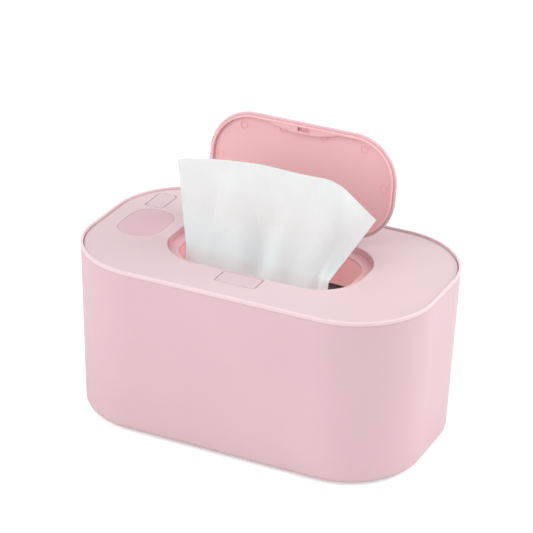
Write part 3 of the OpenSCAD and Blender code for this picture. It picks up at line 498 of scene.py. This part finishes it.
# %% Give every solid its finish
for row in frame["record"]["subparts"]:
    solid = nodes[row["node"]]
    if row["material_slot"] in finishes:
        for held in solid.material_slots:
            held.material = finishes[row["material_slot"]]
print("finishes:", sorted(finishes))

# %% [markdown]
# ## The drawn wipe
#
# A wipe is a thin nonwoven sheet: short fibres laid every way and tangled by water jets, so it
# has no weave but a soft, cloudy look. This one is folded in half in the stack, and the ply that
# is pulled up stands in the mouth like a fan. One fold ridge runs up its right third, and the
# corner beyond the ridge turns away and droops. A cloth simulation would fall over when nothing
# holds the top edge, so the sheet is laid out by rule: stations across it from the stack to the
# top edge, joined by a fine grid, with the same numbers as the solid that it replaces. The two
# sharp creases are the only thing added here that the solid doesn't have.

# %% Shape of the drawn wipe
WIPE_W, WIPE_L = 140.0, 180.0
MX, TOP_Z, LEDGE_Z, MOUTH_Z, STACK_TOP = 30.8, 98.5, 94.3, 77.8, 64.1
RIDGE_SHARE, RIDGE_ROUND = 0.73, 0.07


def blend_rows(a, b, f):
    return a + (b - a) * f


def bell(x, middle, half):
    return np.exp(-((x - middle) / half) ** 2)


def ease(x, start, end):
    t = np.clip((x - start) / (end - start), 0, 1)
    return t * t * (3 - 2 * t)


def across(left, ridge, right, u):
    """Points from the left edge over the rounded ridge to the right edge."""
    left, ridge, right = (np.array(p, float) for p in (left, ridge, right))
    h, s = RIDGE_ROUND, RIDGE_SHARE
    t = np.clip((u - s + h) / (2 * h), 0, 1)[:, None]
    a, b = blend_rows(left, ridge, 1 - h / s), blend_rows(ridge, right, h / (1 - s))
    bend = (1 - t) ** 2 * a + 2 * t * (1 - t) * ridge + t ** 2 * b
    before = blend_rows(left, ridge, (u / s)[:, None])
    after = blend_rows(ridge, right, ((u - s) / (1 - s))[:, None])
    return np.where((u < s - h)[:, None], before, np.where((u > s + h)[:, None], after, bend))


def towards_back(depth):
    return np.stack([np.zeros_like(depth), depth, np.zeros_like(depth)], 1)


def pleats(depth, u):
    return towards_back(depth * np.cos(2 * np.pi * 5 * u) * np.sin(np.pi * u))


def crease(x, middle, half):
    """A fold with a sharp line along its middle."""
    return np.exp(-np.abs(x - middle) / half)


def folds(u, f):
    """Soft folds and two sharper creases, with f going from the mouth to the top edge."""
    g = u / RIDGE_SHARE
    inward = 1.4 * bell(g, 0.585 + 0.07 * f, 0.07) * (1 - ease(f, 0.4, 0.8))
    outward = 1.9 * bell(g, 0.435 - 0.16 * f, 0.11) * (1 - ease(f, 0.7, 0.95))
    sharp = 1.0 * crease(g, 0.60 - 0.20 * f, 0.10) * (1 - ease(f, 0.45, 0.9))
    sharp = sharp + 0.9 * crease(g, 0.16 + 0.12 * f, 0.09) * ease(f, 0.05, 0.5) * (1 - ease(f, 0.75, 1.0))
    return towards_back(inward + sharp - outward)


def standing_row(f, u):
    left = blend_rows(np.array([-MX - 16.3, -8, LEDGE_Z]), np.array([-MX - 25.5, -2, TOP_Z + 44.3]), f)
    right = blend_rows(np.array([MX + 9.3, -12, LEDGE_Z]), np.array([MX + 26.4, 11, TOP_Z + 27.8]), f)
    ridge = blend_rows(np.array([MX + 1.4, -9.5, LEDGE_Z]), np.array([MX + 8, -2, TOP_Z + 52]), f)
    ridge = ridge + [4.9 * math.sin(math.pi * f ** 1.6), -2 * math.sin(math.pi * f), 0]
    g = np.minimum(u / RIDGE_SHARE, 1)
    rise = np.zeros((len(u), 3))
    rise[:, 2] = 3.8 * f * f * np.sqrt(np.maximum(np.sin(np.pi * g), 0)) * (1 - 0.75 * ease(g, 0.45, 0.9))
    return across(left, ridge, right, u) + pleats(0.6 * (1 - f), u) + folds(u, f) + rise


def flat_row(y, z, u):
    return np.stack([WIPE_W * (u - 0.5), np.full_like(u, y), np.full_like(u, z)], 1)


def wipe_rows(u):
    """Rows of points, and how far along the sheet each row lies, in millimetres."""
    lie = STACK_TOP + 0.6
    lip_z = MOUTH_Z - 2
    lip = across([-MX - 15.8, -9, lip_z], [MX - 0.8, -9, lip_z], [MX + 8.2, -9, lip_z], u) + pleats(1.1, u)
    turn = flat_row(-41.5, lie + 2.2, u)
    stations = [flat_row(y, lie, u) for y in np.linspace(36, -38, 26)]
    stations += [flat_row(-41, lie + 0.6, u), turn]
    stations += [blend_rows(turn, lip, ease(f, 0, 1) * 0.35 + f * 0.65) for f in np.linspace(0, 1, 14)[1:]]
    stations += [standing_row(f, u) for f in np.linspace(0, 1, 110)]
    return stations


u = np.linspace(0, 1, 151)
rows = np.array(wipe_rows(u))
# the corners between the straight stretches below the mouth are rounded by averaging along the sheet
for _ in range(6):
    low = slice(24, 48)
    rows[low] = (rows[23:47] + 2 * rows[24:48] + rows[25:49]) / 4
print("wipe: rows", rows.shape[0], "columns", rows.shape[1], "top at", round(rows[..., 2].max(), 1), "mm")

# %% The sheet as a mesh with its own flat coordinates
def grid_faces(count, width):
    return [(r * width + c, r * width + c + 1, (r + 1) * width + c + 1, (r + 1) * width + c)
            for r in range(count - 1) for c in range(width - 1)]


def solidified(name, mesh, thickness):
    """The sheet with its real thickness, as a plain closed mesh."""
    raw = bpy.data.objects.new(name + "_raw", mesh)
    scene.collection.objects.link(raw)
    thick = raw.modifiers.new("thickness", "SOLIDIFY")
    thick.thickness = thickness
    thick.offset = 0
    done = bpy.data.meshes.new_from_object(raw.evaluated_get(bpy.context.evaluated_depsgraph_get()))
    bpy.data.objects.remove(raw)
    done.name = name
    made = bpy.data.objects.new(name, done)
    scene.collection.objects.link(made)
    return made


WIPE_T = 0.00035
count, width = rows.shape[:2]
sheet_mesh = bpy.data.meshes.new("wipe_sheet_mesh")
sheet_mesh.from_pydata((rows.reshape(-1, 3) / 1000).tolist(), [], grid_faces(count, width))
along = np.concatenate([[0], np.cumsum(np.linalg.norm(np.diff(rows[:, width // 3], axis=0), axis=1))])
uv = sheet_mesh.uv_layers.new(name="flat")
corners = np.zeros(len(sheet_mesh.loops), np.int32)
sheet_mesh.loops.foreach_get("vertex_index", corners)
flat_place = np.stack([WIPE_W / 1000 * (corners % width) / (width - 1), along[corners // width] / 1000], 1)
uv.data.foreach_set("uv", flat_place.astype(np.float32).ravel())
sheet_mesh.polygons.foreach_set("use_smooth", np.ones(len(sheet_mesh.polygons), bool))
drawn_wipe = solidified("drawn_wipe", sheet_mesh, WIPE_T)
print("drawn wipe:", len(drawn_wipe.data.polygons), "faces,", round(along[-1], 1), "mm of", WIPE_L)

# %% [markdown]
# ## Nonwoven finish
#
# Up close the wipe shows single fibres, and from afar only soft clouds where more or fewer of
# them lie. Fibres could be real hairs, but there would be millions. Here three noises, each
# drawn out along its own direction in the sheet's flat coordinates, stand for three layers of
# fibres, and a slow noise makes the clouds. The same group serves the folded stack.

# %% Node group: tangled fibres
fibre, fibre_in, fibre_out = new_group(
    "wipe_fibre",
    [("Vector", "NodeSocketVector", (0, 0, 0)), ("Colour", "NodeSocketColor", (0.8, 0.8, 0.8, 1)),
     ("Cloud", "NodeSocketFloat", 0.04)],
    [("Colour", "NodeSocketColor"), ("Height", "NodeSocketFloat")])
layers = []
for turn in (8, 67, 128):
    turned = fibre.nodes.new("ShaderNodeMapping")
    turned.inputs["Rotation"].default_value = (0, 0, math.radians(turn))
    turned.inputs["Scale"].default_value = (420, 5200, 1)
    link(fibre, fibre_in.outputs["Vector"], turned.inputs["Vector"])
    layers.append(noise(fibre, turned.outputs["Vector"], 1, 2, 0.55))
tangle = math_node(fibre, "MAXIMUM", math_node(fibre, "MAXIMUM", layers[0], layers[1]), layers[2])
soft = noise(fibre, fibre_in.outputs["Vector"], 95, 4, 0.6)
cloud = swing(fibre, soft, fibre_in.outputs["Cloud"])
dust = math_node(fibre, "MULTIPLY", math_node(fibre, "SUBTRACT", tangle, 0.62), 0.10)
tone = math_node(fibre, "ADD", math_node(fibre, "ADD", cloud, dust), 1.0)
link(fibre, scaled_colour(fibre, fibre_in.outputs["Colour"], tone), fibre_out.inputs["Colour"])
raised = math_node(fibre, "ADD", tangle, math_node(fibre, "MULTIPLY", soft, 0.8))
link(fibre, raised, fibre_out.inputs["Height"])


# heights over which the cloth near the mouth takes the cooler colour: a painted offset for the bin's pink
# bounce light
BOUNCE_OFFSET_ABOVE, BOUNCE_OFFSET_BELOW = 0.120, 0.097


def nonwoven(name, colour, flat, cloud=0.09, bounce_offset_colour=None):
    """Matt white fibre cloth; flat is True where the piece has its own flat coordinates.

    The colour given for the cloth near the mouth is painted light: cooler and brighter, to cancel the
    pink light that the bin throws on the cloth there, where the real cloth looks neutral white.
    """
    material, tree, surface = new_material(name)
    place = tree.nodes.new("ShaderNodeTexCoord").outputs["UV" if flat else "Object"]
    node = place_group(tree, fibre, Colour=colour, Cloud=cloud)
    link(tree, place, node.inputs["Vector"])
    if bounce_offset_colour:
        bounce_offset_share = ramp(tree, object_place(tree)["Z"], BOUNCE_OFFSET_ABOVE, BOUNCE_OFFSET_BELOW)
        link(tree, mix_colour(tree, bounce_offset_share, colour, bounce_offset_colour), node.inputs["Colour"])
    link(tree, node.outputs["Colour"], surface.inputs["Base Color"])
    bump(tree, node.outputs["Height"], surface, 0.00006, 0.5)
    surface.inputs["Roughness"].default_value = 0.92
    surface.inputs["Specular IOR Level"].default_value = 0.25
    surface.inputs["Sheen Weight"].default_value = 0.1
    surface.inputs["Subsurface Weight"].default_value = 0.1
    surface.inputs["Subsurface Radius"].default_value = (0.001, 0.001, 0.001)
    surface.inputs["Subsurface Scale"].default_value = 1.0
    return material


drawn_wipe.data.materials.clear()
# the cooler colour near the mouth is painted light that cancels the bin's pink bounce on the cloth
sheet_white = nonwoven("wipe_sheet_white", srgb(231, 234, 234), flat=True, bounce_offset_colour=srgb(228, 248, 248))
drawn_wipe.data.materials.append(sheet_white)

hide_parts("wipe_sheet")
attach(drawn_wipe, "cover_unit")
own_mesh(drawn_wipe)

# %% [markdown]
# ## The folded stack
#
# Below the mouth lie forty wipes, each folded once and laid the other way round than the one
# below, so that the folds come out at the front and at the back in turn. A block with a striped
# picture would look flat when the cover is off. Here one folded ply is built, and Geometry Nodes
# repeats it up the stack, turns every second one, and shifts each by a little, with a fixed seed.

# %% One folded ply
STACK_Z, STACK_H, PLIES = 18.1, 46.0, 40
PITCH = STACK_H / PLIES
LEAF = 0.42


def ply_profile(half, height):
    """The closed outline of a sheet folded at the front, as points in Y and Z."""
    turn = np.linspace(0, np.pi, 9)
    mid, outer, inner = height / 2, height / 2, height / 2 - LEAF
    run = np.linspace(half, -half + outer, 14)
    low = [(y, 0.0) for y in run]
    bend = [(-half + outer - outer * math.sin(a), mid - outer * math.cos(a)) for a in turn[1:-1]]
    top = [(y, height) for y in run[::-1]]
    under = [(y, height - LEAF) for y in run]
    inside = [(-half + outer - inner * math.sin(a), mid + inner * math.cos(a)) for a in turn[1:-1]]
    floor = [(y, LEAF) for y in run[::-1]]
    return np.array(low + bend + top + under + inside + floor)


def ply_mesh():
    outline = ply_profile(44.0, PITCH * 0.93)
    xs = np.linspace(-69.0, 69.0, 24)
    points = []
    for x in xs:
        sag = 0.05 * np.sin(x / 11.0 + outline[:, 0] / 17.0) + 0.04 * np.sin(x / 23.0 - outline[:, 0] / 9.0)
        points += [(x, y, z + d) for (y, z), d in zip(outline, sag)]
    n = len(outline)
    faces = [(c * n + k, (c + 1) * n + k, (c + 1) * n + (k + 1) % n, c * n + (k + 1) % n)
             for c in range(len(xs) - 1) for k in range(n)]
    # each end is a strip of quads between the outer and the inner line of the fold
    half = n // 2
    for c, flip in ((0, False), (len(xs) - 1, True)):
        for k in range(half - 1):
            quad = (c * n + k, c * n + k + 1, c * n + n - 2 - k, c * n + n - 1 - k)
            faces.append(quad[::-1] if flip else quad)
    mesh = bpy.data.meshes.new("folded_ply")
    mesh.from_pydata((np.array(points) / 1000).tolist(), [], faces)
    return mesh


# %% Geometry Nodes: the ply repeated up the stack
def new_geometry_tree(name, inputs):
    tree = bpy.data.node_groups.new(name, "GeometryNodeTree")
    tree.interface.new_socket("Geometry", in_out="INPUT", socket_type="NodeSocketGeometry")
    sockets = {}
    for label, kind in inputs:
        sockets[label] = tree.interface.new_socket(label, in_out="INPUT", socket_type=kind).identifier
    tree.interface.new_socket("Geometry", in_out="OUTPUT", socket_type="NodeSocketGeometry")
    return tree, sockets, tree.nodes.new("NodeGroupInput"), tree.nodes.new("NodeGroupOutput")


stack_tree, stack_sockets, given, result = new_geometry_tree(
    "stack_of_plies",
    [("Count", "NodeSocketInt"), ("Pitch", "NodeSocketFloat"), ("Shift", "NodeSocketVector"),
     ("Seed", "NodeSocketInt"), ("Material", "NodeSocketMaterial")])
heights = stack_tree.nodes.new("GeometryNodeMeshLine")
step = stack_tree.nodes.new("ShaderNodeCombineXYZ")
link(stack_tree, given.outputs["Pitch"], step.inputs["Z"])
link(stack_tree, given.outputs["Count"], heights.inputs["Count"])
link(stack_tree, step.outputs[0], heights.inputs["Offset"])
number = stack_tree.nodes.new("GeometryNodeInputIndex").outputs[0]
odd = math_node(stack_tree, "MODULO", number, 2.0)
turn = stack_tree.nodes.new("ShaderNodeCombineXYZ")
link(stack_tree, math_node(stack_tree, "MULTIPLY", odd, math.pi), turn.inputs["Z"])
shift = stack_tree.nodes.new("FunctionNodeRandomValue")
shift.data_type = "FLOAT_VECTOR"
below = stack_tree.nodes.new("ShaderNodeVectorMath")
below.operation = "SCALE"
below.inputs["Scale"].default_value = -1.0
link(stack_tree, given.outputs["Shift"], below.inputs[0])
link(stack_tree, below.outputs[0], shift.inputs["Min"])
link(stack_tree, given.outputs["Shift"], shift.inputs["Max"])
link(stack_tree, given.outputs["Seed"], shift.inputs["Seed"])
moved = stack_tree.nodes.new("GeometryNodeSetPosition")
link(stack_tree, heights.outputs["Mesh"], moved.inputs["Geometry"])
link(stack_tree, shift.outputs["Value"], moved.inputs["Offset"])
copies = stack_tree.nodes.new("GeometryNodeInstanceOnPoints")
link(stack_tree, moved.outputs["Geometry"], copies.inputs["Points"])
link(stack_tree, given.outputs["Geometry"], copies.inputs["Instance"])
link(stack_tree, turn.outputs[0], copies.inputs["Rotation"])
real = stack_tree.nodes.new("GeometryNodeRealizeInstances")
painted = stack_tree.nodes.new("GeometryNodeSetMaterial")
link(stack_tree, copies.outputs["Instances"], real.inputs["Geometry"])
link(stack_tree, real.outputs["Geometry"], painted.inputs["Geometry"])
link(stack_tree, given.outputs["Material"], painted.inputs["Material"])
link(stack_tree, painted.outputs["Geometry"], result.inputs["Geometry"])


def grown(name, mesh, tree, sockets, values, lift=None):
    """What the tree makes of the mesh, as a plain mesh on an object of its own."""
    raw = bpy.data.objects.new(name + "_raw", mesh)
    scene.collection.objects.link(raw)
    grow = raw.modifiers.new("grow", "NODES")
    grow.node_group = tree
    for label, value in values.items():
        grow[sockets[label]] = value
    done = bpy.data.meshes.new_from_object(raw.evaluated_get(bpy.context.evaluated_depsgraph_get()))
    bpy.data.objects.remove(raw)
    if lift is not None:
        done.transform(Matrix.Translation(lift))
    done.name = name
    made = bpy.data.objects.new(name, done)
    scene.collection.objects.link(made)
    return made


stack_white = nonwoven("wipe_stack_white", srgb(232, 233, 235), flat=False, cloud=0.05)
folded_stack = grown(
    "folded_stack", ply_mesh(), stack_tree, stack_sockets,
    {"Count": PLIES, "Pitch": PITCH / 1000, "Shift": (0.0006, 0.0007, 0.0), "Seed": 4,
     "Material": stack_white},
    mm(0, 0, STACK_Z + 0.1))
print("folded stack:", PLIES, "plies,", len(folded_stack.data.polygons), "faces")
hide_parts("wipe_stack")
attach(folded_stack, "housing")

# %% [markdown]
# ## Springs and leads
#
# The lid spring, the latch spring and the leads are wires along a route. The solids hold them
# with few flat sides. Here each route is drawn with many points, the leads with rounded bends,
# and one Geometry Nodes tree sweeps a round section along it. Thin cylinders end to end would
# leave gaps at every bend.

# %% Geometry Nodes: a round wire along a route
wire_tree, wire_sockets, given, result = new_geometry_tree(
    "round_wire",
    [("Radius", "NodeSocketFloat"), ("Sides", "NodeSocketInt"), ("Material", "NodeSocketMaterial")])
route = wire_tree.nodes.new("GeometryNodeMeshToCurve")
section = wire_tree.nodes.new("GeometryNodeCurvePrimitiveCircle")
swept = wire_tree.nodes.new("GeometryNodeCurveToMesh")
smooth = wire_tree.nodes.new("GeometryNodeSetShadeSmooth")
real = wire_tree.nodes.new("GeometryNodeRealizeInstances")
painted = wire_tree.nodes.new("GeometryNodeSetMaterial")
link(wire_tree, given.outputs["Geometry"], route.inputs["Mesh"])
link(wire_tree, given.outputs["Radius"], section.inputs["Radius"])
link(wire_tree, given.outputs["Sides"], section.inputs["Resolution"])
link(wire_tree, route.outputs["Curve"], swept.inputs["Curve"])
link(wire_tree, section.outputs["Curve"], swept.inputs["Profile Curve"])
swept.inputs["Fill Caps"].default_value = True
link(wire_tree, swept.outputs["Mesh"], smooth.inputs["Geometry"])
link(wire_tree, smooth.outputs["Geometry"], real.inputs["Geometry"])
link(wire_tree, real.outputs["Geometry"], painted.inputs["Geometry"])
link(wire_tree, given.outputs["Material"], painted.inputs["Material"])
link(wire_tree, painted.outputs["Geometry"], result.inputs["Geometry"])


# %% Routes, with the same numbers as the solids
def rounded(points, rounds=3):
    """The route with its corners cut again and again, inside the straight one."""
    points = np.array(points, float)
    for _ in range(rounds):
        a, b = points[:-1], points[1:]
        cut = np.stack([0.75 * a + 0.25 * b, 0.25 * a + 0.75 * b], 1).reshape(-1, 3)
        points = np.concatenate([points[:1], cut[1:-1], points[-1:]])
    return points


def helix(turns, place, steps=40):
    """Points of place(share, angle) over the turns, the share going from 0 to 1."""
    count = int(turns * steps)
    return np.array([place(i / count, 2 * math.pi * i / steps) for i in range(count + 1)])


# the lid spring: five turns round the axle, with a leg on the cover and a leg in the lid
HINGE_Y, HINGE_Z, COIL_R, COIL_HALF = 34.3, 96.1, 1.75, 3.6
COIL_LOW = HINGE_Z - COIL_R


def lid_turn(share, angle):
    return (-COIL_HALF + 2 * COIL_HALF * share, HINGE_Y + COIL_R * math.sin(angle),
            HINGE_Z - COIL_R * math.cos(angle))


lid_spring_route = np.concatenate([
    [(-COIL_HALF - 0.3, HINGE_Y - 3, 93.85), (-COIL_HALF - 0.2, HINGE_Y - 1.6, 93.95)],
    helix(5, lid_turn),
    [(COIL_HALF + 0.3, HINGE_Y + 1.4, COIL_LOW), (COIL_HALF + 0.4, HINGE_Y + 2.1, COIL_LOW)]])

# the latch spring: five turns between its seat and the slider
SEAT_Y, PUSH_Z, PUSH_R, PUSH_L = -50.05, 92.1, 1.6, 5.3


def latch_turn(share, angle):
    return (PUSH_R * math.cos(angle), SEAT_Y + 0.35 + PUSH_L * share, PUSH_Z + PUSH_R * math.sin(angle))


latch_spring_route = helix(5, latch_turn)

# the leads, in pairs that lie side by side: s tells one wire of a pair from the other
INLET_X, INLET_Y, INLET_Z = -40.0, 50.97, 90.42
BOARD_RIGHT, BOARD_REAR, LEAD_END = -62.0, 38.0, 90.58
UNDER_Z, FLOOR_Z, WIRE_Z = 84.6, 86.4, 88.2
LEAD_X, LEAD_Y, SIDE_X, SENSOR_X, REAR_Y = -63.1, 8, 51.1, 67.1, 33.6


def power_lead(s):
    x, y, pad = -3 * s, INLET_Y + 2 * s, BOARD_RIGHT - 3
    return [(INLET_X - 6, y, INLET_Z), (INLET_X - 10.5 + x, y, INLET_Z),
            (INLET_X - 15 + x, BOARD_REAR + 4, LEAD_END - 0.4),
            (pad + x, BOARD_REAR - 2, LEAD_END), (pad + x, BOARD_REAR - 6, LEAD_END)]


def heater_lead(s):
    y = LEAD_Y + s * 3
    return [(LEAD_X, y, UNDER_Z), (LEAD_X, y, FLOOR_Z + 2.4), (LEAD_X - 1, y, LEAD_END - 1),
            (LEAD_X - 2, y, LEAD_END), (LEAD_X - 6, y, LEAD_END)]


def sensor_lead(s):
    y, z = (1 - 2 * s) * 8, UNDER_Z + (1.65 if s else 1.25)
    return [(SENSOR_X - (5.62 if s else 3.02), y, z), (SENSOR_X - (6.4 if s else 4.2), y, z),
            (SENSOR_X - (8 if s else 6), y + 2 * s, WIRE_Z),
            (SIDE_X + 7 - 3.5 * s, REAR_Y - 14 - 5 * s, WIRE_Z),
            (SIDE_X + 2 - 3.5 * s, REAR_Y - 6, WIRE_Z),
            (MX + 12, REAR_Y - 1.8 * s, WIRE_Z), (-MX - 12, REAR_Y - 1.8 * s, WIRE_Z),
            (-SIDE_X - 10, 22 - 3 * s, LEAD_END - 0.5), (-SIDE_X - 12, 21 - 3 * s, LEAD_END),
            (-SIDE_X - 16, 20 - 3 * s, LEAD_END)]


power_routes = [rounded(power_lead(s)) for s in (0, 1)]
heater_routes = [rounded(heater_lead(s)) for s in (-1, 1)]
sensor_routes = [rounded(sensor_lead(s)) for s in (0, 1)]
print("routes:", 2 + len(power_routes) + len(heater_routes) + len(sensor_routes))


# %% The wires themselves
def wires(name, node, routes, radius, sides, finish, body="cover_unit"):
    points, edges = [], []
    for line in routes:
        first = len(points)
        points += (np.array(line) / 1000).tolist()
        edges += [(first + i, first + i + 1) for i in range(len(line) - 1)]
    mesh = bpy.data.meshes.new(name + "_route")
    mesh.from_pydata(points, edges, [])
    made = grown(name, mesh, wire_tree, wire_sockets,
                 {"Radius": radius / 1000, "Sides": sides, "Material": finishes[finish]})
    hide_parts(node)
    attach(made, body)
    print(name + ":", len(made.data.polygons), "faces")
    return made


SPRING_SIDES, LEAD_SIDES, LEAD_RADIUS = 14, 16, 0.6
wires("lid_spring", "torsion_spring", [lid_spring_route], 0.35, SPRING_SIDES, "spring_steel")
hook_spring = wires("hook_spring", "latch_spring", [latch_spring_route], 0.3, SPRING_SIDES, "spring_steel")
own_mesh(hook_spring)
wires("inlet_wires", "power_leads", power_routes, LEAD_RADIUS, LEAD_SIDES, "lead_black")
wires("heater_wires", "heater_leads", heater_routes, LEAD_RADIUS, LEAD_SIDES, "lead_red")
wires("sensor_wires", "sensor_leads", sensor_routes, LEAD_RADIUS, LEAD_SIDES, "lead_yellow")
